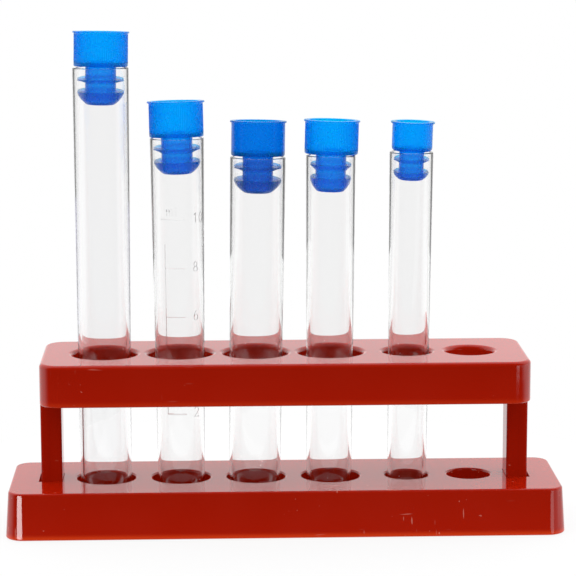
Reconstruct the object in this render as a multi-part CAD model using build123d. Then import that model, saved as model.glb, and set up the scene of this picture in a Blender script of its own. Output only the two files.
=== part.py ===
from build123d import *
import os
from dataclasses import dataclass
from math import hypot, radians, sin

# A moulded test tube rack with six holes, five plastic test tubes and the push-in stopper of each.
#
# Millimetres. The rack stands on the plane Z = 0. The origin is the centre of the base's
# underside, +X runs along the row from the tallest tube to the empty hole, +Y runs to the back
# and +Z is up.

# ---- Row of holes --------------------------------------------------------------------------
WIDE_PITCH = 22.4             # between the four wide holes
FIRST_HOLE_X = -53.4
FIFTH_HOLE_X = 36.7           # first narrow hole
SIXTH_HOLE_X = 55.4           # second narrow hole, which stays empty
WIDE_HOLES_X = [FIRST_HOLE_X + index * WIDE_PITCH for index in range(4)]
NARROW_HOLES_X = [FIFTH_HOLE_X, SIXTH_HOLE_X]

# ---- Base: an open-bottomed drafted box with a blind socket under each hole -------------------
BASE_LENGTH = 165.2           # at the table
BASE_WIDTH = 41.2             # at the table
BASE_HEIGHT = 13.9
BASE_DRAFT = 3.9              # degrees that the four sides lean in
BASE_CORNER = 5.5
BASE_TOP_EDGE = 0.7           # rounding of the top's outer edge
BASE_LIP = 0.6                # rounding of each socket's mouth
WIDE_SOCKET_R = 8.75
NARROW_SOCKET_R = 6.5
SOCKET_FLOOR_Z = 7.0
SOCKET_WALL = 1.4

# ---- Tray: a skirted plate that guides the tubes ----------------------------------------------
TRAY_LENGTH = 144.0
TRAY_WIDTH = 38.8
TRAY_TOP_Z = 51.8
TRAY_HEIGHT = 12.4
TRAY_CORNER = 5.8
TRAY_TOP_EDGE = 1.2
TRAY_LIP = 1.3
WIDE_GUIDE_R = 9.5
NARROW_GUIDE_R = 7.1
COLLAR_DEPTH = 6.0            # of the tube guide below the tray's top
COLLAR_WALL = 1.2

# ---- Mouldings in common ----------------------------------------------------------------------
SHELL_WALL = 2.0
PLATE = 2.2
BOTTOM_EDGE = 0.5             # rounding of the shells' lower outer edges

# ---- Posts: one at each end of the rack ---------------------------------------------------------
POST_WIDTH = 6.3              # along X
POST_PROUD = 0.6              # of the post's outer side beyond the tray's end
POST_DEPTH = 10.0             # along Y
POST_FLANGE = 2.8             # outer band, which stops under the tray's skirt
POST_STEP = 0.3               # that band is this much shallower, front and back
POST_CORNER = 0.8
POST_SLOT_PLAY = 0.1          # round the post in the base and in the tray
POST_SLOT_EXTRA = 0.7         # further play at the post's outer side in the base
POST_POCKET_DEPTH = 6.0       # of the pocket walls under the tray's plate

# ---- Fits between the loose pieces ----------------------------------------------------------------
TUBE_SEAT_GAP = 0.1           # under a tube's round bottom
STOPPER_SEAT_GAP = 0.1        # between a stopper's shoulder and the rim of its tube
RING_CLEARANCE = 0.13         # radial, between a stopper's rings and the bore
STOPPER_WALL = 1.0
STOPPER_LIP_THICKNESS = 0.5
RING_LAND = 0.3               # straight edge of each sealing ring
DOME_BULGE = 0.08             # of the lower ring's slanted side, as a share of its length

POST_OUTER_X = TRAY_LENGTH / 2 + POST_PROUD
POST_INNER_X = POST_OUTER_X - POST_WIDTH
TRAY_BOTTOM_Z = TRAY_TOP_Z - TRAY_HEIGHT
TRAY_PLATE_Z = TRAY_TOP_Z - PLATE


@dataclass
class Stopper:
    """A push-in stopper: a hollow grip on a hollow plug with two sealing rings."""

    name: str
    lip_diameter: float
    grip_diameter: float
    grip_height: float
    grip_edge: float          # rounding of the grip's lower edge
    neck_diameter: float
    ring_top: float           # depth of the upper ring's flat top below the grip
    ring_root: float          # depth at which the upper ring's cone meets the neck
    dome_top: float           # depth of the lower ring's flat top
    plug_depth: float
    plug_end_diameter: float
    side_tilt: float          # degrees out of line with the tube, positive towards +X
    back_tilt: float          # the same, positive towards +Y


@dataclass
class TestTube:
    """A straight-walled tube with a slight taper and a round bottom."""

    name: str
    socket_x: float
    seat_offset: float        # of the round bottom from the socket's middle, along X
    rim_diameter: float
    foot_diameter: float      # where the wall meets the round bottom
    wall: float
    rim_height: float         # above the table
    side_lean: float          # degrees from upright, positive towards +X
    back_lean: float          # degrees from upright, positive towards +Y
    stopper: Stopper

    @property
    def foot_radius(self):
        return self.foot_diameter / 2

    @property
    def barrel_length(self):
        """From the middle of the round bottom to the rim."""
        return self.rim_height - SOCKET_FLOOR_Z - TUBE_SEAT_GAP - self.foot_radius

    def bore_radius(self, depth):
        """Inner radius at a depth below the rim."""
        flare = (self.rim_diameter - self.foot_diameter) / 2 / self.barrel_length
        return self.rim_diameter / 2 - self.wall - flare * depth

    def location(self):
        """The middle of the round bottom, with Z along the tube."""
        middle_z = SOCKET_FLOOR_Z + TUBE_SEAT_GAP + self.foot_radius
        return Location((self.socket_x + self.seat_offset, 0, middle_z)) * Rot(-self.back_lean, self.side_lean, 0)


TUBES = [
    TestTube("tube_130mm_wide", WIDE_HOLES_X[0], -0.1, 16.5, 15.3, 1.1, 136.5, 0.0, 1.4, Stopper(
        "stopper_130mm_wide", 16.6, 15.9, 10.2, 0.3, 9.1, 3.95, 5.2, 7.5, 11.45, 8.4, 1.0, 1.1)),
    TestTube("tube_graduated", WIDE_HOLES_X[1], 0.1, 15.9, 13.95, 0.75, 115.7, -0.26, 1.4, Stopper(
        "stopper_graduated", 16.95, 16.0, 10.5, 0.3, 9.3, 3.45, 5.15, 7.35, 11.1, 8.7, -0.8, 1.6)),
    TestTube("tube_100mm_wide", WIDE_HOLES_X[2], -0.35, 16.4, 15.35, 0.85, 110.0, 0.85, 1.4, Stopper(
        "stopper_100mm_wide", 16.7, 15.9, 10.3, 0.5, 9.1, 3.35, 4.95, 7.25, 11.2, 8.2, 0.2, 1.6)),
    TestTube("tube_100mm_medium", WIDE_HOLES_X[3], -0.45, 14.6, 13.5, 0.95, 110.4, 0.39, 1.4, Stopper(
        "stopper_100mm_medium", 16.6, 15.85, 10.05, 0.5, 9.1, 3.15, 5.25, 7.0, 11.2, 8.2, 1.3, 0.8)),
    TestTube("tube_100mm_narrow", FIFTH_HOLE_X, 0.05, 12.9, 11.6, 0.95, 111.4, 0.57, 0.4, Stopper(
        "stopper_100mm_narrow", 13.0, 12.0, 8.7, 1.1, 7.4, 2.4, 3.8, 6.2, 8.65, 7.3, 1.3, 0.2)),
]


def box_between(x_range, y_range, z_range):
    """A box given by its lowest and highest X, Y and Z."""
    ranges = (x_range, y_range, z_range)
    sizes = [high - low for low, high in ranges]
    middle = tuple((low + high) / 2 for low, high in ranges)
    return Pos(*middle) * Box(*sizes)


def upright_cylinder(x, radius, bottom_z, top_z):
    """A cylinder on the row's centre line."""
    return Pos(x, 0, (bottom_z + top_z) / 2) * Cylinder(radius, top_z - bottom_z)


def rounded_block(length, width, corner, bottom_z, height, draft=0.0):
    """A block with rounded corners whose sides lean in by the draft angle."""
    outline = Pos(0, 0, bottom_z) * RectangleRounded(length, width, corner)
    return extrude(outline, height, taper=draft)


def round_outer_edges(block, top_radius):
    """Round the outer rims at the top and at the bottom of a solid block."""
    top_face = block.faces().sort_by(Axis.Z)[-1]
    block = fillet(top_face.edges(), top_radius)
    bottom_face = block.faces().sort_by(Axis.Z)[0]
    return fillet(bottom_face.edges(), BOTTOM_EDGE)


def round_mouths(shell, plane_z, mouth_radii, radius):
    """Round the circular edges of the holes in the top plane."""
    circles = shell.edges().filter_by(GeomType.CIRCLE).filter_by_position(
        Axis.Z, plane_z - 0.01, plane_z + 0.01)
    mouths = [edge for edge in circles
              if any(abs(edge.radius - mouth) < 0.01 for mouth in mouth_radii)]
    return fillet(mouths, radius)


def hole_list(wide_radius, narrow_radius):
    """X and radius of the six holes."""
    wide = [(x, wide_radius) for x in WIDE_HOLES_X]
    narrow = [(x, narrow_radius) for x in NARROW_HOLES_X]
    return wide + narrow


def rack_base():
    """Drafted shell with six blind tube sockets and a blind pocket for each post."""
    block = rounded_block(BASE_LENGTH, BASE_WIDTH, BASE_CORNER, 0, BASE_HEIGHT, BASE_DRAFT)
    block = round_outer_edges(block, BASE_TOP_EDGE)
    hollow = rounded_block(BASE_LENGTH - 2 * SHELL_WALL, BASE_WIDTH - 2 * SHELL_WALL,
                           BASE_CORNER - SHELL_WALL, 0, BASE_HEIGHT - PLATE, BASE_DRAFT)
    shell = block - hollow
    under_plate_z = BASE_HEIGHT - PLATE / 2
    cup_bottom_z = SOCKET_FLOOR_Z - SOCKET_WALL
    sockets = hole_list(WIDE_SOCKET_R, NARROW_SOCKET_R)
    for x, radius in sockets:
        shell += upright_cylinder(x, radius + SOCKET_WALL, cup_bottom_z, under_plate_z)

    slot_x = (POST_INNER_X - POST_SLOT_PLAY, POST_OUTER_X + POST_SLOT_PLAY + POST_SLOT_EXTRA)
    slot_half_depth = POST_DEPTH / 2 + POST_SLOT_PLAY
    pocket_x = (slot_x[0] - SOCKET_WALL, slot_x[1] + SOCKET_WALL)
    pocket_y = (-slot_half_depth - SOCKET_WALL, slot_half_depth + SOCKET_WALL)
    pocket = box_between(pocket_x, pocket_y, (cup_bottom_z, under_plate_z))
    slot = box_between(slot_x, (-slot_half_depth, slot_half_depth), (SOCKET_FLOOR_Z, BASE_HEIGHT + 1))
    for side_pocket in (pocket, mirror(pocket, Plane.YZ)):
        shell += side_pocket
    for side_slot in (slot, mirror(slot, Plane.YZ)):
        shell -= side_slot

    for x, radius in sockets:
        shell -= upright_cylinder(x, radius, SOCKET_FLOOR_Z, BASE_HEIGHT + 1)
    return round_mouths(shell, BASE_HEIGHT, (WIDE_SOCKET_R, NARROW_SOCKET_R), BASE_LIP)


def rack_tray():
    """Skirted plate with six collared holes and a three-walled pocket for each post's tenon."""
    block = rounded_block(TRAY_LENGTH, TRAY_WIDTH, TRAY_CORNER, TRAY_BOTTOM_Z, TRAY_HEIGHT)
    block = round_outer_edges(block, TRAY_TOP_EDGE)
    hollow = rounded_block(TRAY_LENGTH - 2 * SHELL_WALL, TRAY_WIDTH - 2 * SHELL_WALL,
                           TRAY_CORNER - SHELL_WALL, TRAY_BOTTOM_Z, TRAY_HEIGHT - PLATE)
    shell = block - hollow
    guides = hole_list(WIDE_GUIDE_R, NARROW_GUIDE_R)
    for x, radius in guides:
        shell += upright_cylinder(x, radius + COLLAR_WALL, TRAY_TOP_Z - COLLAR_DEPTH,
                                  TRAY_TOP_Z - PLATE / 2)

    skirt_inner_x = TRAY_LENGTH / 2 - SHELL_WALL
    tenon_x = (POST_INNER_X - POST_SLOT_PLAY, skirt_inner_x)
    tenon_half_depth = POST_DEPTH / 2 + POST_SLOT_PLAY
    pocket_x = (tenon_x[0] - COLLAR_WALL, skirt_inner_x + SHELL_WALL / 2)
    pocket_y = (-tenon_half_depth - COLLAR_WALL, tenon_half_depth + COLLAR_WALL)
    pocket_z = (TRAY_PLATE_Z - POST_POCKET_DEPTH, TRAY_PLATE_Z)
    pocket = box_between(pocket_x, pocket_y, (pocket_z[0], pocket_z[1] + PLATE / 2))
    pocket -= box_between(tenon_x, (-tenon_half_depth, tenon_half_depth), pocket_z)
    for side_pocket in (pocket, mirror(pocket, Plane.YZ)):
        shell += side_pocket

    for x, radius in guides:
        shell -= upright_cylinder(x, radius, TRAY_BOTTOM_Z, TRAY_TOP_Z + 1)
    return round_mouths(shell, TRAY_TOP_Z, (WIDE_GUIDE_R, NARROW_GUIDE_R), TRAY_LIP)


def right_post():
    """Post with a full-length inner block and an outer band that ends under the tray's skirt."""
    seam_x = POST_OUTER_X - POST_FLANGE
    half = POST_DEPTH / 2
    block = box_between((POST_INNER_X, seam_x), (-half, half), (SOCKET_FLOOR_Z, TRAY_PLATE_Z))
    block = fillet(block.edges().filter_by(Axis.Z).group_by(Axis.X)[0], POST_CORNER)
    band_half = half - POST_STEP
    band = box_between((seam_x, POST_OUTER_X), (-band_half, band_half), (SOCKET_FLOOR_Z, TRAY_BOTTOM_Z))
    band = fillet(band.edges().filter_by(Axis.Z).group_by(Axis.X)[-1], POST_CORNER)
    return block + band


def turned(outline_edges):
    """The solid turned about Z by a closed outline in the XZ plane."""
    return revolve(Plane.XZ * make_face(outline_edges), Axis.Z)


def tube_body(tube):
    """Tube with its axis on Z and the middle of its round bottom at the origin."""
    foot = tube.foot_radius
    foot_bore = foot - tube.wall
    rim = tube.rim_diameter / 2
    rim_bore = rim - tube.wall
    top = tube.barrel_length
    outline = [
        CenterArc((0, 0), foot, -90, 90),
        Line((foot, 0), (rim, top)),
        Line((rim, top), (rim_bore, top)),
        Line((rim_bore, top), (foot_bore, 0)),
        CenterArc((0, 0), foot_bore, 0, -90),
        Line((0, -foot_bore), (0, -foot)),
    ]
    body = turned(outline)
    rim_edges = body.edges().filter_by(GeomType.CIRCLE).group_by(Axis.Z)[-1]
    return fillet(rim_edges, tube.wall * 0.3)


def stopper_body(stopper, tube):
    """Stopper with its axis on Z and the underside of its grip at the origin."""
    lip = stopper.lip_diameter / 2
    grip = stopper.grip_diameter / 2
    neck = stopper.neck_diameter / 2
    end = stopper.plug_end_diameter / 2
    top = stopper.grip_height
    edge = stopper.grip_edge
    upper_ring = tube.bore_radius(stopper.ring_top) - RING_CLEARANCE
    lower_ring = tube.bore_radius(stopper.dome_top) - RING_CLEARANCE
    bowl = neck - STOPPER_WALL
    dome_start = (lower_ring, -stopper.dome_top - RING_LAND)
    dome_end = (end, -stopper.plug_depth)
    dome_slant = hypot(dome_start[0] - dome_end[0], dome_start[1] - dome_end[1])
    corners = [
        (neck, 0),
        (neck, -stopper.ring_top),
        (upper_ring, -stopper.ring_top),
        (upper_ring, -stopper.ring_top - RING_LAND),
        (neck, -stopper.ring_root),
        (neck, -stopper.dome_top),
        (lower_ring, -stopper.dome_top),
        dome_start,
    ]
    inside = [
        dome_end,
        (0, -stopper.plug_depth),
        (0, -stopper.plug_depth + STOPPER_WALL),
        (bowl, -stopper.plug_depth + STOPPER_WALL),
        (bowl, STOPPER_WALL),
        (grip - STOPPER_WALL, STOPPER_WALL),
        (grip - STOPPER_WALL, top),
        (lip, top),
        (lip, top - STOPPER_LIP_THICKNESS),
        (grip, top - STOPPER_LIP_THICKNESS),
        (grip, edge),
        (grip - edge, 0),
        (neck, 0),
    ]
    dome = SagittaArc(dome_start, dome_end, DOME_BULGE * dome_slant)
    return turned([Polyline(*corners), dome, Polyline(*inside)])


def stopper_location(stopper, tube):
    """Seated in the tube's mouth, tilted about the middle of its two rings."""
    tilt = hypot(stopper.side_tilt, stopper.back_tilt)
    seat_gap = STOPPER_SEAT_GAP + stopper.grip_diameter / 2 * sin(radians(tilt))
    pivot_depth = (stopper.ring_top + stopper.dome_top) / 2
    pivot = tube.location() * Pos(0, 0, tube.barrel_length + seat_gap - pivot_depth)
    return pivot * Rot(-stopper.back_tilt, stopper.side_tilt, 0) * Pos(0, 0, pivot_depth)


def write_node(name, shape):
    """Write one sub-part to its own STEP file."""
    shape.label = name
    export_step(shape, f"parts/{name}.step")


def main():
    os.makedirs("parts", exist_ok=True)
    write_node("rack_base", rack_base())
    write_node("rack_tray", rack_tray())
    post = right_post()
    write_node("post_right", post)
    write_node("post_left", mirror(post, Plane.YZ))
    for tube in TUBES:
        write_node(tube.name, tube.location() * tube_body(tube))
        place = stopper_location(tube.stopper, tube)
        write_node(tube.stopper.name, place * stopper_body(tube.stopper, tube))


main()
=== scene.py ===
from dataclasses import dataclass
from math import asin, atan2, cos, hypot, pi, radians, sin, tan

import bmesh
import bpy
from mathutils import Matrix, Vector


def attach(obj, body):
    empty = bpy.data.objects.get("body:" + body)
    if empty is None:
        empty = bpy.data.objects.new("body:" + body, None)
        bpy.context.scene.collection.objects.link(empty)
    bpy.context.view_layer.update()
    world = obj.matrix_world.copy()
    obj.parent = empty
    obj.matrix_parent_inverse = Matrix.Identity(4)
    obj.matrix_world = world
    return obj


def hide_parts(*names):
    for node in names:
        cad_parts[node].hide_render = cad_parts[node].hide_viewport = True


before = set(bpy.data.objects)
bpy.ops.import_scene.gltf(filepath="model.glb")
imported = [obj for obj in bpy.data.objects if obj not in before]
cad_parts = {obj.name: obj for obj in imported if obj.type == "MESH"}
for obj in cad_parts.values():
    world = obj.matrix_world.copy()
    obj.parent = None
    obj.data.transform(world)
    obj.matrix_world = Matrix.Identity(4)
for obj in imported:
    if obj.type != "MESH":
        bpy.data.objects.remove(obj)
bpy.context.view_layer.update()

# A moulded red test tube rack with five clear tubes, each closed by a blue push-in stopper.
# Sizes are in millimetres, as in the CAD source, and MM brings them to metres.
MM = 0.001


# ---- Sizes repeated from the CAD source --------------------------------------------------------
WIDE_HOLES_X = [-53.4 + 22.4 * index for index in range(4)]
FIFTH_HOLE_X = 36.7
SOCKET_FLOOR_Z = 7.0
TRAY_RIM_Z = 39.4
TUBE_SEAT_GAP = 0.1
STOPPER_SEAT_GAP = 0.1
RING_CLEARANCE = 0.13
STOPPER_WALL = 1.0
STOPPER_LIP_THICKNESS = 0.5
RING_LAND = 0.3
DOME_BULGE = 0.08             # rise of the dome's arc, as a share of its chord


@dataclass
class Stopper:
    """A push-in stopper, with the depths of its parts below the grip."""

    name: str
    lip_diameter: float
    grip_diameter: float
    grip_height: float
    grip_edge: float
    neck_diameter: float
    ring_top: float
    ring_root: float
    dome_top: float
    plug_depth: float
    plug_end_diameter: float
    side_tilt: float
    back_tilt: float
    ribs: int                 # round the grip, or 0 for a smooth one
    material: str


@dataclass
class TestTube:
    """A straight-walled tube with a slight taper and a round bottom."""

    name: str
    hole_x: float
    seat_offset: float
    rim_diameter: float
    foot_diameter: float
    wall: float
    rim_height: float
    side_lean: float
    back_lean: float
    material: str
    stopper: Stopper

    @property
    def foot_radius(self):
        return self.foot_diameter / 2

    @property
    def barrel_length(self):
        return self.rim_height - SOCKET_FLOOR_Z - TUBE_SEAT_GAP - self.foot_radius

    @property
    def flare(self):
        """How much the radius grows for each millimetre up the barrel."""
        return (self.rim_diameter - self.foot_diameter) / 2 / self.barrel_length

    def bore_radius(self, depth):
        """Inner radius at a depth below the rim."""
        return self.rim_diameter / 2 - self.wall - self.flare * depth

    def wall_radius(self, height):
        """Outer radius at a height above the middle of the round bottom."""
        return self.foot_radius + self.flare * height

    def matrix(self):
        """From the tube's own millimetres to the row frame."""
        middle_z = SOCKET_FLOOR_Z + TUBE_SEAT_GAP + self.foot_radius
        place = Vector((self.hole_x + self.seat_offset, 0, middle_z)) * MM
        return Matrix.Translation(place) @ leaning(self.side_lean, self.back_lean)


def leaning(side, back):
    """A rotation by degrees from upright, towards +X and towards +Y."""
    return Matrix.Rotation(radians(-back), 4, "X") @ Matrix.Rotation(radians(side), 4, "Y")


def raised(height):
    """A move along Z by a height in millimetres."""
    return Matrix.Translation((0, 0, height * MM))


def stopper_matrix(stopper, tube):
    """From the stopper's own millimetres to the row frame: tilted about the middle of its rings."""
    tilt = hypot(stopper.side_tilt, stopper.back_tilt)
    seat_gap = STOPPER_SEAT_GAP + stopper.grip_diameter / 2 * sin(radians(tilt))
    pivot = (stopper.ring_top + stopper.dome_top) / 2
    return (tube.matrix() @ raised(tube.barrel_length + seat_gap - pivot)
            @ leaning(stopper.side_tilt, stopper.back_tilt) @ raised(pivot))


# ---- Finer detail of the tubes and the stoppers --------------------------------------------------
RIBS = 92
RIB_DEPTH = 0.16
RIB_FADE = 0.3                # height over which the ribs run out at both ends
SEGMENTS_PER_RIB = 6
TUBE_SEGMENTS = 160
SMOOTH_STOPPER_SEGMENTS = 128
SMOOTH_ANGLE = 35             # degrees; sharper edges stay sharp
TUBE_RIM_ROUNDING = 0.3       # as a share of the wall
RING_DISH = 0.15              # how far a ring's top drops towards the neck
RING_EDGE = 0.06
DOME_EDGE = 0.08
NECK_FILLET = 0.25            # where the neck meets a ring's top
RING_UNDER_FILLET = 0.4       # where it meets the upper ring's underside
NECK_TOP_FILLET = 0.3
GRIP_TAPER = 0.02             # of the grip's radius at its lower edge
MIN_GRIP_EDGE = 0.25
LIP_FILLET = 0.15
LIP_EDGE = 0.12
MOUTH_EDGE = 0.2
HOLLOW_FILLET = 0.5
BOWL_EDGE = 0.3
BOWL_FILLET = 0.8

# ---- The row, from the left -------------------------------------------------------------------------
TUBES = [
    TestTube(
        name="tube_130mm_wide", hole_x=WIDE_HOLES_X[0], seat_offset=-0.1,
        rim_diameter=16.5, foot_diameter=15.3, wall=1.1, rim_height=136.5,
        side_lean=0.0, back_lean=1.4, material="clear_thick",
        stopper=Stopper(
            name="stopper_130mm_wide", lip_diameter=16.6, grip_diameter=15.9,
            grip_height=10.2, grip_edge=0.3, neck_diameter=9.1, ring_top=3.95, ring_root=5.2,
            dome_top=7.5, plug_depth=11.45, plug_end_diameter=8.4,
            side_tilt=1.0, back_tilt=1.1, ribs=RIBS, material="blue_light")),
    TestTube(
        name="tube_graduated", hole_x=WIDE_HOLES_X[1], seat_offset=0.1,
        rim_diameter=15.9, foot_diameter=13.95, wall=0.75, rim_height=115.7,
        side_lean=-0.26, back_lean=1.4, material="clear",
        stopper=Stopper(
            name="stopper_graduated", lip_diameter=16.95, grip_diameter=16.0,
            grip_height=10.5, grip_edge=0.3, neck_diameter=9.3, ring_top=3.45, ring_root=5.15,
            dome_top=7.35, plug_depth=11.1, plug_end_diameter=8.7,
            side_tilt=-0.8, back_tilt=1.6, ribs=RIBS, material="blue_light")),
    TestTube(
        name="tube_100mm_wide", hole_x=WIDE_HOLES_X[2], seat_offset=-0.35,
        rim_diameter=16.4, foot_diameter=15.35, wall=0.85, rim_height=110.0,
        side_lean=0.85, back_lean=1.4, material="clear",
        stopper=Stopper(
            name="stopper_100mm_wide", lip_diameter=16.7, grip_diameter=15.9,
            grip_height=10.3, grip_edge=0.5, neck_diameter=9.1, ring_top=3.35, ring_root=4.95,
            dome_top=7.25, plug_depth=11.2, plug_end_diameter=8.2,
            side_tilt=0.2, back_tilt=1.6, ribs=0, material="blue_deep")),
    TestTube(
        name="tube_100mm_medium", hole_x=WIDE_HOLES_X[3], seat_offset=-0.45,
        rim_diameter=14.6, foot_diameter=13.5, wall=0.95, rim_height=110.4,
        side_lean=0.39, back_lean=1.4, material="clear",
        stopper=Stopper(
            name="stopper_100mm_medium", lip_diameter=16.6, grip_diameter=15.85,
            grip_height=10.05, grip_edge=0.5, neck_diameter=9.1, ring_top=3.15, ring_root=5.25,
            dome_top=7.0, plug_depth=11.2, plug_end_diameter=8.2,
            side_tilt=1.3, back_tilt=0.8, ribs=RIBS, material="blue_light")),
    TestTube(
        name="tube_100mm_narrow", hole_x=FIFTH_HOLE_X, seat_offset=0.05,
        rim_diameter=12.9, foot_diameter=11.6, wall=0.95, rim_height=111.4,
        side_lean=0.57, back_lean=0.4, material="clear",
        stopper=Stopper(
            name="stopper_100mm_narrow", lip_diameter=13.0, grip_diameter=12.0,
            grip_height=8.7, grip_edge=1.1, neck_diameter=7.4, ring_top=2.4, ring_root=3.8,
            dome_top=6.2, plug_depth=8.65, plug_end_diameter=7.3,
            side_tilt=1.3, back_tilt=0.2, ribs=0, material="blue_light")),
]


# ---- Meshes --------------------------------------------------------------------------------------
def arc(centre, radius, start, end, steps):
    """Points on a circle in the (radius, height) plane, from one angle in degrees to another."""
    angles = [radians(start + (end - start) * step / steps) for step in range(steps + 1)]
    return [(centre[0] + radius * cos(a), centre[1] + radius * sin(a)) for a in angles]


def rounded(corners, steps=5):
    """An outline through (radius, height, rounding) corners, with each one rounded off."""
    outline = []
    for index, (x, z, rounding) in enumerate(corners):
        corner = Vector((x, z))
        if rounding == 0:
            outline.append((x, z))
            continue
        before = (Vector(corners[index - 1][:2]) - corner).normalized()
        after = (Vector(corners[index + 1][:2]) - corner).normalized()
        half_angle = before.angle(after) / 2
        reach = rounding / tan(half_angle)
        centre = corner + (before + after).normalized() * (rounding / sin(half_angle))
        start = corner + before * reach - centre
        end = corner + after * reach - centre
        turn = start.angle_signed(end)
        first = atan2(start.y, start.x)
        for step in range(steps + 1):
            angle = first - turn * step / steps
            outline.append((centre.x + rounding * cos(angle), centre.y + rounding * sin(angle)))
    return outline


def bulging(start, end, bulge, steps=10):
    """Points between two ends of an arc that stands out to its right by a share of its length."""
    chord = hypot(end[0] - start[0], end[1] - start[1])
    rise = bulge * chord
    radius = (chord * chord / 4 + rise * rise) / (2 * rise)
    along = Vector((end[0] - start[0], end[1] - start[1])) / chord
    outward = Vector((-along.y, along.x))
    middle = (Vector(start) + Vector(end)) / 2
    centre = middle - outward * (radius - rise)
    half_turn = asin(chord / 2 / radius)
    points = []
    for step in range(1, steps):
        angle = -half_turn + 2 * half_turn * step / steps
        points.append(tuple(centre + outward * radius * cos(angle) + along * radius * sin(angle)))
    return points


def turned_mesh(name, outline, segments, radius_change=None):
    """A closed surface turned about Z by an outline that starts and ends on the axis, in metres.

    radius_change(index, angle) adds to the radius of an outline point at an angle.
    """
    mesh = bmesh.new()
    rows = []
    for index, (radius, height) in enumerate(outline):
        if radius < 1e-6:
            rows.append([mesh.verts.new((0, 0, height * MM))])
            continue
        row = []
        for segment in range(segments):
            angle = 2 * pi * segment / segments
            here = radius + (radius_change(index, angle) if radius_change else 0)
            row.append(mesh.verts.new((here * cos(angle) * MM, here * sin(angle) * MM, height * MM)))
        rows.append(row)
    for lower, upper in zip(rows, rows[1:]):
        for segment in range(segments):
            after = (segment + 1) % segments
            if len(lower) == 1:
                mesh.faces.new((lower[0], upper[after], upper[segment]))
            elif len(upper) == 1:
                mesh.faces.new((lower[segment], lower[after], upper[0]))
            else:
                mesh.faces.new((lower[segment], lower[after], upper[after], upper[segment]))
    bmesh.ops.recalc_face_normals(mesh, faces=mesh.faces)
    data = bpy.data.meshes.new(name)
    mesh.to_mesh(data)
    mesh.free()
    return data


def add_piece(name, data, matrix, body, material):
    """Adds a mesh in the row frame, shades it smooth, and rides it on a body."""
    data.transform(matrix)
    data.shade_smooth()
    data.set_sharp_from_angle(angle=radians(SMOOTH_ANGLE))
    piece = bpy.data.objects.new(name, data)
    bpy.context.scene.collection.objects.link(piece)
    data.materials.append(material)
    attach(piece, body)
    return piece


def tube_outline(tube):
    """Round bottom, barrel and rounded rim, outside and then inside."""
    foot = tube.foot_radius
    bore = foot - tube.wall
    top = tube.barrel_length
    rim = tube.rim_diameter / 2
    rounding = tube.wall * TUBE_RIM_ROUNDING
    outer = arc((0, 0), foot, -90, 0, 24)
    barrel_rim = rounded([
        (foot, 0, 0),
        (rim, top, rounding),
        (rim - tube.wall, top, rounding),
        (bore, 0, 0),
    ])
    inner = arc((0, 0), bore, 0, -90, 24)
    return [(0, -foot)] + outer[1:-1] + barrel_rim + inner[1:-1] + [(0, -bore)]


def stopper_outline(stopper, tube):
    """Outline from the plug's end, up the outside and down the hollow, and its ribbed part."""
    lip = stopper.lip_diameter / 2
    grip = stopper.grip_diameter / 2
    neck = stopper.neck_diameter / 2
    end = stopper.plug_end_diameter / 2
    top = stopper.grip_height
    upper_ring = tube.bore_radius(stopper.ring_top) - RING_CLEARANCE
    lower_ring = tube.bore_radius(stopper.dome_top) - RING_CLEARANCE
    bowl = neck - STOPPER_WALL
    dome_start = (lower_ring, -stopper.dome_top - RING_LAND)
    dome_end = (end, -stopper.plug_depth)
    dome = bulging(dome_end, dome_start, -DOME_BULGE)
    plug = rounded([
        (*dome[-1], 0),
        (*dome_start, 0),
        (lower_ring, -stopper.dome_top, DOME_EDGE),
        (neck, -stopper.dome_top - RING_DISH, NECK_FILLET),
        (neck, -stopper.ring_root, RING_UNDER_FILLET),
        (upper_ring, -stopper.ring_top - RING_LAND, RING_EDGE),
        (upper_ring, -stopper.ring_top, RING_EDGE),
        (neck, -stopper.ring_top - RING_DISH, NECK_FILLET),
        (neck, 0, NECK_TOP_FILLET),
        (grip - GRIP_TAPER, 0, max(MIN_GRIP_EDGE, stopper.grip_edge)),
        (grip, 0.2 + stopper.grip_edge, 0),
    ])[1:-1]
    side_bottom = 0.6 + stopper.grip_edge
    side_top = top - STOPPER_LIP_THICKNESS - 0.25
    side = [(grip, side_bottom), (grip, side_bottom + RIB_FADE), (grip, side_top - RIB_FADE),
            (grip, side_top)]
    mouth = rounded([
        (grip, side_top, 0),
        (grip, top - STOPPER_LIP_THICKNESS, LIP_FILLET),
        (lip, top - STOPPER_LIP_THICKNESS, LIP_EDGE),
        (lip, top, LIP_EDGE),
        (grip - STOPPER_WALL, top, MOUTH_EDGE),
        (grip - STOPPER_WALL, STOPPER_WALL, HOLLOW_FILLET),
        (bowl, STOPPER_WALL, BOWL_EDGE),
        (bowl, STOPPER_WALL - stopper.plug_depth, BOWL_FILLET),
        (0, STOPPER_WALL - stopper.plug_depth, 0),
    ])[1:]
    bottom = [(0, -stopper.plug_depth), (end - 0.5, -stopper.plug_depth)]
    outline = bottom + [dome_end] + dome + plug + side + mouth
    first = len(bottom) + 1 + len(dome) + len(plug)
    return outline, range(first + 1, first + 3)


def ribbed(stopper, ribbed_rows):
    """Shallow grooves between the ribs round the grip, fading out at both ends."""
    if not stopper.ribs:
        return None

    def change(index, angle):
        if index not in ribbed_rows:
            return 0
        return -RIB_DEPTH * (0.5 - 0.5 * cos(angle * stopper.ribs)) ** 2

    return change


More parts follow.
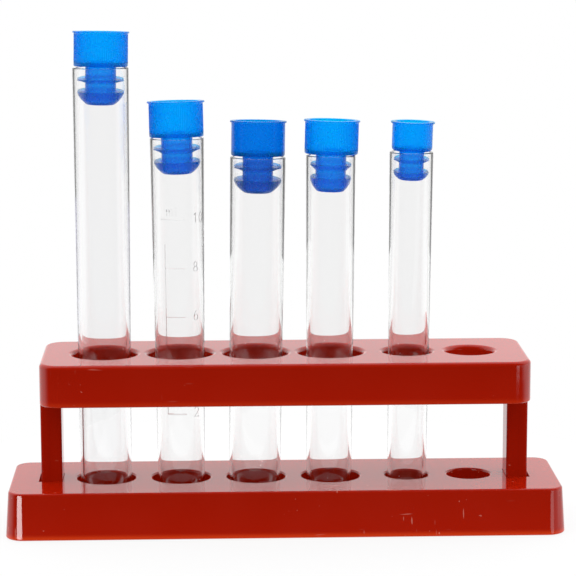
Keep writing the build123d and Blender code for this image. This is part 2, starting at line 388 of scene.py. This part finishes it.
# ---- Graduations: strokes raised on a tube's wall -----------------------------------------------
MARK_WIDTH = 0.34
MARK_HEIGHT = 0.06
MARK_SINK = 0.02              # of a mark's foot into the wall
MARK_STEP = 0.4               # between the points of a long stroke
DIGIT_WIDTH = 1.7
DIGIT_HEIGHT = 2.9
DIGIT_GAP = 0.7
SCALE_LINE_ANGLE = -31        # degrees from the front, positive towards +X
TICK_END_ANGLE = 15
TOP_TICK_START_ANGLE = -40
DIGITS_ANGLE = 36
UNIT_ANGLE = -25
DIGITS_DROP = 0.35            # of a number's foot below its tick, as a share of its height
UNIT_RISE = 1.2               # of the unit's foot above the top tick
SCALE_LINE_TOP = 9            # in millilitres, as the line's lower end is at 2
TWO_ML_HEIGHT = 20.2          # above the middle of the round bottom
ML_SPACING = 7.25


def oval(centre_x, centre_z, half_width, half_height, start=0, end=360, steps=16):
    """A stroke along an oval from one angle in degrees to another."""
    angles = [radians(start + (end - start) * step / steps) for step in range(steps + 1)]
    return [(centre_x + half_width * cos(a), centre_z + half_height * sin(a)) for a in angles]


# Strokes of each sign in a box one wide and one high.
SIGNS = {
    "0": [oval(0.5, 0.5, 0.45, 0.5)],
    "1": [[(0.2, 0.78), (0.55, 1.0), (0.55, 0.0)]],
    "2": [oval(0.5, 0.7, 0.42, 0.3, 165, -35, 8) + [(0.05, 0.0), (0.95, 0.0)]],
    "4": [[(0.7, 0.0), (0.7, 1.0), (0.0, 0.28), (1.0, 0.28)]],
    "6": [oval(0.5, 0.3, 0.42, 0.3), oval(0.9, 0.3, 0.82, 0.7, 180, 110, 6)],
    "8": [oval(0.5, 0.75, 0.34, 0.25), oval(0.5, 0.26, 0.42, 0.26)],
    "m": [[(0.0, 0.0), (0.0, 0.65)], oval(0.25, 0.4, 0.25, 0.25, 180, 0, 6) + [(0.5, 0.0)],
          oval(0.75, 0.4, 0.25, 0.25, 180, 0, 6) + [(1.0, 0.0)]],
    "l": [[(0.3, 0.0), (0.3, 1.0)]],
}


def placed_signs(text, angle, height, tube):
    """Strokes of a text whose left side is at an angle on the wall, as (arc length, height)."""
    left = radians(angle) * tube.wall_radius(height)
    strokes = []
    for index, sign in enumerate(text):
        start = left + index * (DIGIT_WIDTH + DIGIT_GAP)
        for stroke in SIGNS[sign]:
            strokes.append([(start + x * DIGIT_WIDTH, height + z * DIGIT_HEIGHT) for x, z in stroke])
    return strokes


def straight(start, end):
    """A stroke between two points, divided so that it can follow the wall."""
    count = max(1, round(hypot(end[0] - start[0], end[1] - start[1]) / MARK_STEP))
    return [tuple(Vector(start).lerp(Vector(end), step / count)) for step in range(count + 1)]


def scale_height(millilitres):
    """Height of a mark above the middle of the round bottom."""
    return TWO_ML_HEIGHT + (millilitres - 2) * ML_SPACING


def graduation_strokes(tube):
    """A scale line with a tick and a number at each even millilitre, and the unit at the top."""
    strokes = []
    for millilitres in (2, 4, 6, 8, 10):
        height = scale_height(millilitres)
        radius = tube.wall_radius(height)
        start_angle = TOP_TICK_START_ANGLE if millilitres == 10 else SCALE_LINE_ANGLE
        start = (radians(start_angle) * radius, height)
        end = (radians(TICK_END_ANGLE) * radius, height)
        strokes.append(straight(start, end))
        strokes += placed_signs(str(millilitres), DIGITS_ANGLE, height - DIGITS_DROP * DIGIT_HEIGHT, tube)
    strokes.append([(radians(SCALE_LINE_ANGLE) * tube.wall_radius(height), height)
                    for height in (scale_height(2), scale_height(SCALE_LINE_TOP))])
    strokes += placed_signs("ml", UNIT_ANGLE, scale_height(10) + UNIT_RISE, tube)
    return strokes


def raised_strokes(name, strokes, tube, width, height):
    """Each stroke as a low ridge on the tube's wall, in metres."""
    mesh = bmesh.new()
    for stroke in strokes:
        rails = []
        for index, point in enumerate(stroke):
            before = Vector(stroke[max(index - 1, 0)])
            after = Vector(stroke[min(index + 1, len(stroke) - 1)])
            along = (after - before).normalized()
            aside = Vector((-along.y, along.x))
            rail = []
            for offset, rise in ((-0.5, -MARK_SINK), (-0.25, height), (0.25, height), (0.5, -MARK_SINK)):
                place = Vector(point) + aside * offset * width
                angle = place.x / tube.wall_radius(point[1]) - pi / 2
                radius = tube.wall_radius(place.y) + rise
                rail.append(mesh.verts.new((radius * cos(angle) * MM, radius * sin(angle) * MM,
                                            place.y * MM)))
            rails.append(rail)
        for first, second in zip(rails, rails[1:]):
            for corner in range(4):
                after_corner = (corner + 1) % 4
                mesh.faces.new((first[corner], first[after_corner], second[after_corner], second[corner]))
        mesh.faces.new(rails[0])
        mesh.faces.new(list(reversed(rails[-1])))
    bmesh.ops.recalc_face_normals(mesh, faces=mesh.faces)
    data = bpy.data.meshes.new(name)
    mesh.to_mesh(data)
    mesh.free()
    return data


# ---- Materials ------------------------------------------------------------------------------------
CLEAR_IOR = 1.5
RED_IOR = 1.5
BLUE_IOR = 1.22               # below polyethylene's 1.5, which would give the stoppers white edges
# Painted light from below on the red plastic: heights of its lighter, more orange lower rim and of the
# colour painted lighter towards the bottom.
PAINTED_RIM_HEIGHT = 0.0022      # metres
PAINTED_UNDERLIGHT_HEIGHT = 0.012
# Painted glow: the red plastic emits light in its own colour, standing in for light scattered inside it.
PAINTED_GLOW_STRENGTH = 0.3               # light from inside the red plastic, as a share of its colour


def joined(tree, kind, inputs=(), **settings):
    """Adds a node, sets its fields, and fills its inputs with values or links."""
    node = tree.nodes.new(kind)
    for key, value in settings.items():
        setattr(node, key, value)
    for key, value in dict(inputs).items():
        if isinstance(value, bpy.types.NodeSocket):
            tree.links.new(value, node.inputs[key])
        else:
            node.inputs[key].default_value = value
    return node


class Nodes:
    """Short ways to add linked nodes to a material."""

    def __init__(self, name):
        self.material = bpy.data.materials.new(name)
        self.material.use_nodes = True
        self.tree = self.material.node_tree
        self.shader = self.tree.nodes["Principled BSDF"]
        self.output = self.tree.nodes["Material Output"]
        self.coords = self.add("ShaderNodeTexCoord").outputs["Object"]

    def add(self, kind, inputs=(), **settings):
        return joined(self.tree, kind, inputs, **settings)

    def set(self, **values):
        """Sets or links the shader's sockets, named with _ for each space."""
        for key, value in values.items():
            socket = self.shader.inputs[key.replace("_", " ")]
            if isinstance(value, bpy.types.NodeSocket):
                self.tree.links.new(value, socket)
            else:
                socket.default_value = value

    def stretched(self, scale, turn=(0, 0, 0)):
        """Object coordinates turned and then stretched."""
        mapping = self.add("ShaderNodeMapping", {"Vector": self.coords, "Scale": scale,
                                                 "Rotation": [radians(angle) for angle in turn]})
        return mapping.outputs["Vector"]

    def height(self):
        """Height above the table in metres, while the rack stands at rest."""
        return self.add("ShaderNodeSeparateXYZ", {"Vector": self.coords}).outputs["Z"]

    def noise(self, scale, detail=2.0, vector=None):
        node = self.add("ShaderNodeTexNoise", {"Vector": vector or self.coords, "Scale": scale,
                                               "Detail": detail})
        return node.outputs["Fac"]

    def remap(self, value, low, high, to_low, to_high, interpolation="LINEAR"):
        """A value brought from one range to another, and held inside it."""
        node = self.add("ShaderNodeMapRange", {"Value": value, "From Min": low, "From Max": high,
                                               "To Min": to_low, "To Max": to_high},
                        interpolation_type=interpolation)
        return node.outputs["Result"]

    def math(self, operation, first, second=0.0):
        return self.add("ShaderNodeMath", {0: first, 1: second}, operation=operation).outputs[0]

    def mix(self, factor, first, second):
        """A mix of two colours."""
        node = self.add("ShaderNodeMix", {"Factor": factor, 6: first, 7: second}, data_type="RGBA")
        return node.outputs[2]

    def bump(self, height, strength, distance, normal=None):
        node = self.add("ShaderNodeBump", {"Height": height, "Strength": strength,
                                           "Distance": distance})
        if normal:
            self.tree.links.new(normal, node.inputs["Normal"])
        return node.outputs["Normal"]


def red_plastic(name, rim_z, painted_rim_strength, gloss):
    """Glossy moulded polystyrene: faint flow marks, hairline scratches, dust, and painted light.

    The colour is painted lighter towards the bottom, and lighter and more orange in the thin lower rim
    that starts at rim_z in millimetres, as light from below shining through; the next argument is how
    strongly the rim is painted, from 0 to 1. A gloss of 0.5 is that of polystyrene. The plastic also
    glows by emission in its own colour, a painted glow that stands for light scattered inside it and
    also lights its holes.
    """
    nodes = Nodes(name)
    cloud = nodes.noise(45, detail=3)
    flow = nodes.noise(14, detail=2, vector=nodes.stretched((1, 1, 6)))
    long_scratches = nodes.noise(650, detail=1, vector=nodes.stretched((0.12, 1, 1.6), (0, 25, 10)))
    short_scratches = nodes.noise(600, detail=1, vector=nodes.stretched((1.5, 1, 0.2), (0, 18, -30)))
    handled = nodes.remap(nodes.noise(28, detail=1), 0.52, 0.6, 0, 1)
    scratches = nodes.math("MAXIMUM", nodes.remap(long_scratches, 0.73, 0.76, 0, 1),
                           nodes.remap(short_scratches, 0.74, 0.77, 0, 1))
    dust = nodes.remap(nodes.noise(900, detail=1), 0.76, 0.8, 0, 1)
    marks = nodes.math("MULTIPLY", nodes.math("MAXIMUM", scratches, dust), handled)
    rise = nodes.math("SUBTRACT", nodes.height(), rim_z * MM)
    # Painted light: a lighter, more orange rim at the bottom and a colour lighter towards the bottom, as
    # light from below.
    painted_rim_mask = nodes.remap(rise, 0, PAINTED_RIM_HEIGHT, 1, 0, "SMOOTHERSTEP")
    painted_underlight_mask = nodes.remap(rise, 0, PAINTED_UNDERLIGHT_HEIGHT, 1, 0)
    body = nodes.mix(painted_underlight_mask, (0.205, 0.0048, 0.0005, 1), (0.235, 0.0056, 0.0007, 1))
    clouded = nodes.mix(nodes.remap(cloud, 0.35, 0.65, 0, 0.12), body, (0.26, 0.009, 0.0025, 1))
    painted_rim_colour = nodes.mix(nodes.math("MULTIPLY", painted_rim_mask, painted_rim_strength), clouded, (0.5, 0.041, 0.0065, 1))
    colour = nodes.mix(nodes.math("MULTIPLY", marks, 0.22), painted_rim_colour, (0.7, 0.3, 0.22, 1))
    roughness = nodes.math("ADD", nodes.remap(cloud, 0.3, 0.7, 0.04, 0.09),
                           nodes.math("MULTIPLY", marks, 0.3))
    waves = nodes.bump(flow, 0.12, 0.0004)
    normal = nodes.bump(nodes.noise(1500, detail=2), 0.04, 0.00004, waves)
    # The emission is a painted glow in the plastic's own colour, which also lights the holes.
    nodes.set(Base_Color=colour, Roughness=roughness, Normal=normal, IOR=RED_IOR,
              Specular_IOR_Level=gloss, Emission_Color=colour, Emission_Strength=PAINTED_GLOW_STRENGTH)
    return nodes.material


def clear_plastic(name, absorbed, density):
    """Clear polystyrene with faint vertical drawing marks, tinted where one looks along the wall."""
    nodes = Nodes(name)
    streaks = nodes.noise(420, detail=2, vector=nodes.stretched((1, 1, 0.02)))
    specks = nodes.remap(nodes.noise(1400, detail=1), 0.78, 0.82, 0, 1)
    roughness = nodes.math("ADD", nodes.remap(streaks, 0.3, 0.7, 0.0, 0.02),
                           nodes.math("MULTIPLY", specks, 0.3))
    normal = nodes.bump(streaks, 0.05, 0.00003)
    nodes.set(Base_Color=(1, 1, 1, 1), Roughness=roughness, Normal=normal, IOR=CLEAR_IOR,
              Transmission_Weight=1.0)
    volume = nodes.add("ShaderNodeVolumeAbsorption", {"Color": absorbed, "Density": density})
    nodes.tree.links.new(volume.outputs[0], nodes.output.inputs["Volume"])
    return nodes.material


def blue_plastic(name, surface, transmission, absorbed, density):
    """Hazy translucent polyethylene that takes its colour from the depth of plastic, and glows faintly as
    painted light.
    """
    nodes = Nodes(name)
    haze = nodes.noise(350, detail=3)
    roughness = nodes.remap(haze, 0.3, 0.7, 0.2, 0.32)
    normal = nodes.bump(nodes.noise(2600, detail=2), 0.1, 0.00005)
    # The stoppers glow faintly by emission in their own colour: painted light standing in for light
    # carried through the translucent plastic.
    nodes.set(Base_Color=surface, Roughness=roughness, Normal=normal, IOR=BLUE_IOR,
              Specular_IOR_Level=0.03, Transmission_Weight=transmission,
              Emission_Color=surface, Emission_Strength=0.05)
    volume = nodes.add("ShaderNodeVolumeAbsorption", {"Color": absorbed, "Density": density})
    nodes.tree.links.new(volume.outputs[0], nodes.output.inputs["Volume"])
    return nodes.material


MATERIALS = {
    "clear": clear_plastic("clear_plastic", (0.4, 0.45, 0.45, 1), 1.2),
    "clear_thick": clear_plastic("clear_plastic_violet", (0.42, 0.4, 0.6, 1), 9),
    "blue_light": blue_plastic("blue_plastic", (0.0, 0.82, 1.0, 1), 0.92, (0.0, 0.42, 0.92, 1), 1000),
    "blue_deep": blue_plastic("blue_plastic_deep", (0.0, 0.55, 0.9, 1), 0.92, (0.0, 0.42, 0.88, 1), 1000),
}


# ---- Pieces -----------------------------------------------------------------------------------------
# The third argument is how strongly each piece's lower rim is painted lighter, as light from below.
RACK_MATERIALS = {
    "rack_base": red_plastic("red_plastic_base", 0, 0.6, 0.5),
    "rack_tray": red_plastic("red_plastic_tray", TRAY_RIM_Z, 0.25, 0.5),
    "post_left": red_plastic("red_plastic_posts", 0, 0, 0.12),
}
RACK_MATERIALS["post_right"] = RACK_MATERIALS["post_left"]
for node, material in RACK_MATERIALS.items():
    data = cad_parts[node].data
    data.materials.clear()
    data.materials.append(material)

for tube in TUBES:
    data = turned_mesh(tube.name, tube_outline(tube), TUBE_SEGMENTS)
    piece = add_piece("clear_" + tube.name, data, tube.matrix(), tube.name,
                      MATERIALS[tube.material])
    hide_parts(tube.name)
    stopper = tube.stopper
    outline, ribbed_rows = stopper_outline(stopper, tube)
    segments = stopper.ribs * SEGMENTS_PER_RIB or SMOOTH_STOPPER_SEGMENTS
    data = turned_mesh(stopper.name, outline, segments, ribbed(stopper, ribbed_rows))
    piece = add_piece("blue_" + stopper.name, data, stopper_matrix(stopper, tube), stopper.name,
                      MATERIALS[stopper.material])
    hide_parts(stopper.name)
    if tube.name == "tube_graduated":
        data = raised_strokes("graduations", graduation_strokes(tube), tube, MARK_WIDTH, MARK_HEIGHT)
        add_piece("graduation_marks", data, tube.matrix(), tube.name, MATERIALS["clear"])


# ---- Floor, light and camera ---------------------------------------------------------------------
FLOOR_RADIUS = 0.14           # metres; beyond it the white world goes on
FLOOR_DROP = 0.2              # below the rack, in millimetres
SOFTBOX_DISTANCE = 1.2        # metres from the middle of the rack
SOFTBOX_EDGE = 9              # degrees up to its top edge, and down to its bottom edge


def add_floor():
    """A plain white table that lights the object from below, with a faint contact shadow."""
    bpy.ops.mesh.primitive_circle_add(vertices=96, radius=FLOOR_RADIUS, fill_type="NGON",
                                      location=(0, 0, -FLOOR_DROP * MM))
    floor = bpy.context.object
    floor.name = "floor"
    nodes = Nodes("white_floor")
    nodes.set(Base_Color=(0.07, 0.07, 0.07, 1), Roughness=0.9, Emission_Color=(1, 1, 1, 1),
              Emission_Strength=0.86, Specular_IOR_Level=0.0)
    floor.data.materials.append(nodes.material)
    floor.visible_glossy = False


def add_softbox(azimuth, half_angle, radiance, receivers):
    """A soft box seen only as a gloss on some pieces.

    Azimuth 0 is in front and 90 at the right; half_angle is half its width, all in degrees.
    """
    data = bpy.data.lights.new("softbox", "AREA")
    data.shape = "RECTANGLE"
    data.size = 2 * SOFTBOX_DISTANCE * tan(radians(half_angle))
    data.size_y = 2 * SOFTBOX_DISTANCE * tan(radians(SOFTBOX_EDGE))
    # Cycles spreads a light's energy so that its radiance is the energy over four times the area.
    data.energy = 4 * data.size * data.size_y * radiance
    light = bpy.data.objects.new("softbox", data)
    bpy.context.scene.collection.objects.link(light)
    angle = radians(azimuth)
    light.location = (SOFTBOX_DISTANCE * sin(angle), -SOFTBOX_DISTANCE * cos(angle), 0)
    light.rotation_euler = (-light.location).to_track_quat("-Z", "Y").to_euler()
    light.visible_camera = False
    light.visible_diffuse = False
    light.visible_transmission = False
    light.light_linking.receiver_collection = receivers


def add_world():
    """A white backdrop, a dark room in front, and a large soft box overhead."""
    world = bpy.data.worlds.new("studio")
    bpy.context.scene.world = world
    world.use_nodes = True
    world.cycles.sampling_method = "NONE"    # the others ignore what kind of ray asks
    tree = world.node_tree
    background = tree.nodes["Background"]

    def ramp(value, low, high, to_low, to_high):
        node = joined(tree, "ShaderNodeMapRange", {"Value": value, "From Min": low, "From Max": high,
                                                   "To Min": to_low, "To Max": to_high},
                      interpolation_type="SMOOTHSTEP")
        return node.outputs["Result"]

    def choose(factor, first, second):
        node = joined(tree, "ShaderNodeMix", {"Factor": factor, "A": first, "B": second},
                      data_type="FLOAT")
        return node.outputs["Result"]

    direction = joined(tree, "ShaderNodeTexCoord").outputs["Generated"]
    split = joined(tree, "ShaderNodeSeparateXYZ", {"Vector": direction})
    rays = joined(tree, "ShaderNodeLightPath")
    # What reflections see, what is seen through a tube or a stopper, and what lights the surfaces:
    # each goes from the dark front to the white backdrop, and the last has the soft box overhead.
    in_gloss = ramp(split.outputs["Y"], -0.5, 0.1, 0.015, 1.12)
    through_tubes = ramp(split.outputs["Y"], -0.35, 0.0, 0.35, 0.99)
    overhead = ramp(split.outputs["Z"], 0.35, 0.6, 0, 2.0)
    on_surfaces = joined(tree, "ShaderNodeMath", {
        0: ramp(split.outputs["Y"], -0.9, 0.3, 0.5, 1.0), 1: overhead}, operation="ADD").outputs[0]
    strength = choose(rays.outputs["Is Transmission Ray"], in_gloss, through_tubes)
    scattered = joined(tree, "ShaderNodeMath", {0: rays.outputs["Diffuse Depth"], 1: 1.0},
                       operation="MINIMUM").outputs[0]
    strength = choose(scattered, strength, on_surfaces)
    strength = choose(rays.outputs["Is Camera Ray"], strength, 1.0)
    tree.links.new(strength, background.inputs["Strength"])
    background.inputs["Color"].default_value = (1, 1, 1, 1)


def add_camera():
    """A long lens a little above the rack and a little to its left."""
    data = bpy.data.cameras.new("camera")
    data.sensor_width = 36
    data.lens = 150
    data.clip_start = 0.01
    data.clip_end = 20
    camera = bpy.data.objects.new("camera", data)
    bpy.context.scene.collection.objects.link(camera)
    target = Vector((1.19, 0, 71.01)) * MM
    yaw = -1.896
    pitch = 9.789
    roll = -0.139
    distance = 712.4 * MM
    turn = (Matrix.Rotation(radians(yaw), 4, "Z") @ Matrix.Rotation(radians(90 - pitch), 4, "X")
            @ Matrix.Rotation(radians(roll), 4, "Z"))
    camera.matrix_world = Matrix.Translation(target) @ turn @ Matrix.Translation((0, 0, distance))
    bpy.context.scene.camera = camera


rack_pieces = bpy.data.collections.new("rack_pieces")
for node in RACK_MATERIALS:
    rack_pieces.objects.link(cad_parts[node])
base_only = bpy.data.collections.new("base_only")
base_only.objects.link(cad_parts["rack_base"])
add_floor()
add_softbox(azimuth=-34, half_angle=13, radiance=9.5, receivers=base_only)
add_softbox(azimuth=37, half_angle=9, radiance=1.6, receivers=rack_pieces)
add_softbox(azimuth=75, half_angle=28, radiance=0.5, receivers=rack_pieces)
add_world()
add_camera()

LIGHT_BOUNCES = 64            # light runs round inside a tube's wall many times before it leaves
scene = bpy.context.scene
scene.view_settings.view_transform = "Standard"
for kind in ("max_bounces", "transmission_bounces", "glossy_bounces"):
    setattr(scene.cycles, kind, LIGHT_BOUNCES)
